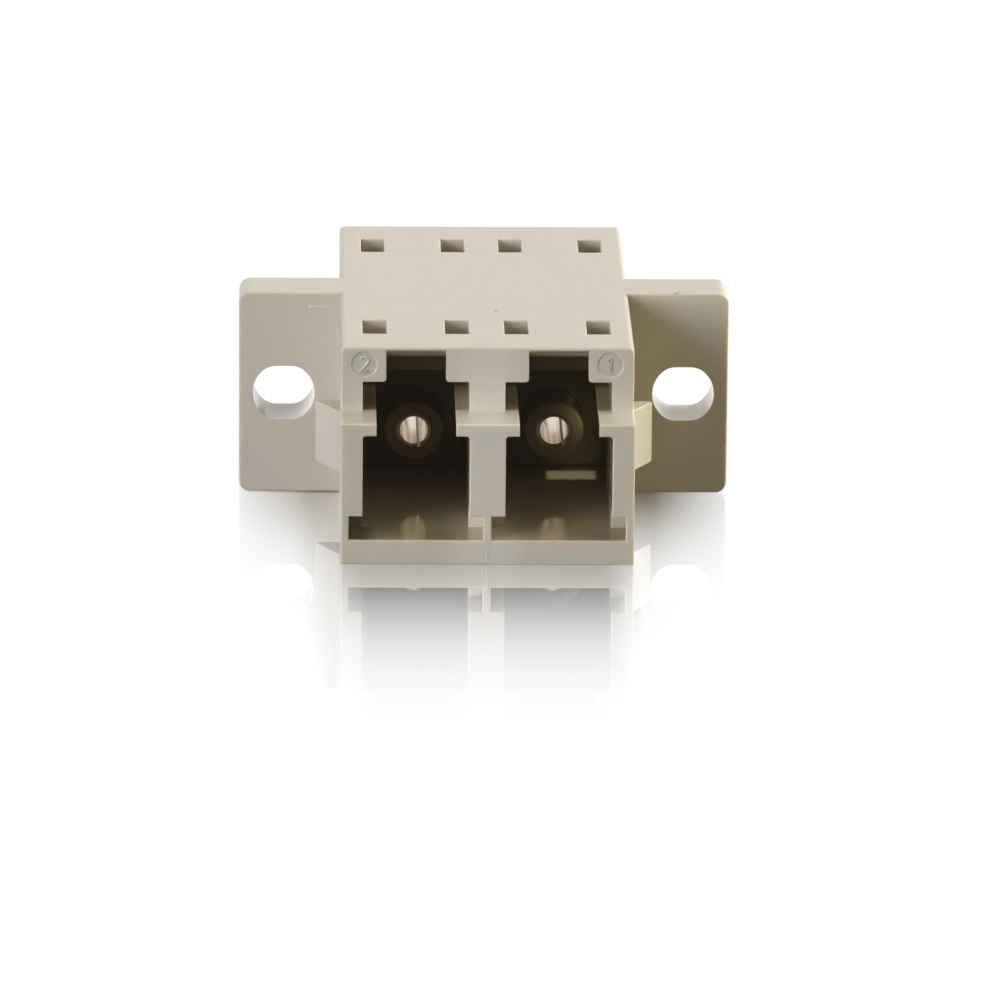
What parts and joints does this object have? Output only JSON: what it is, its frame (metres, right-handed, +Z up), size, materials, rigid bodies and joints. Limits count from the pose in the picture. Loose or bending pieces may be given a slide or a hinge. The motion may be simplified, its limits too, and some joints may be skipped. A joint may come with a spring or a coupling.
{
  "type": "lc fibre adapter",
  "caption": "Flanged housing that joins LC fibre plugs end to end through split alignment sleeves, with latch windows in its roof and snap catches on its sides.",
  "frame": {"origin": "middle of the footprint on the flat underside, midway between the port faces", "axes": "+X to the right seen from the front ports, +Y from the front ports to the rear ports, +Z up towards the latch windows"},
  "size_m": [0.022, 0.0274, 0.0092],
  "materials": {
    "housing_plastic": "fine satin, warm beige, moulded",
    "holder_plastic": "satin, warm beige, moulded",
    "sleeve_bronze": "bright rolled phosphor bronze"
  },
  "bodies": {
    "root": {"housing": "housing_plastic", "sleeve_holder_front_left": "holder_plastic", "sleeve_holder_front_right": "holder_plastic", "sleeve_holder_rear_left": "holder_plastic", "sleeve_holder_rear_right": "holder_plastic", "split_sleeve_left": "sleeve_bronze", "split_sleeve_right": "sleeve_bronze"}
  },
  "joints": []
}
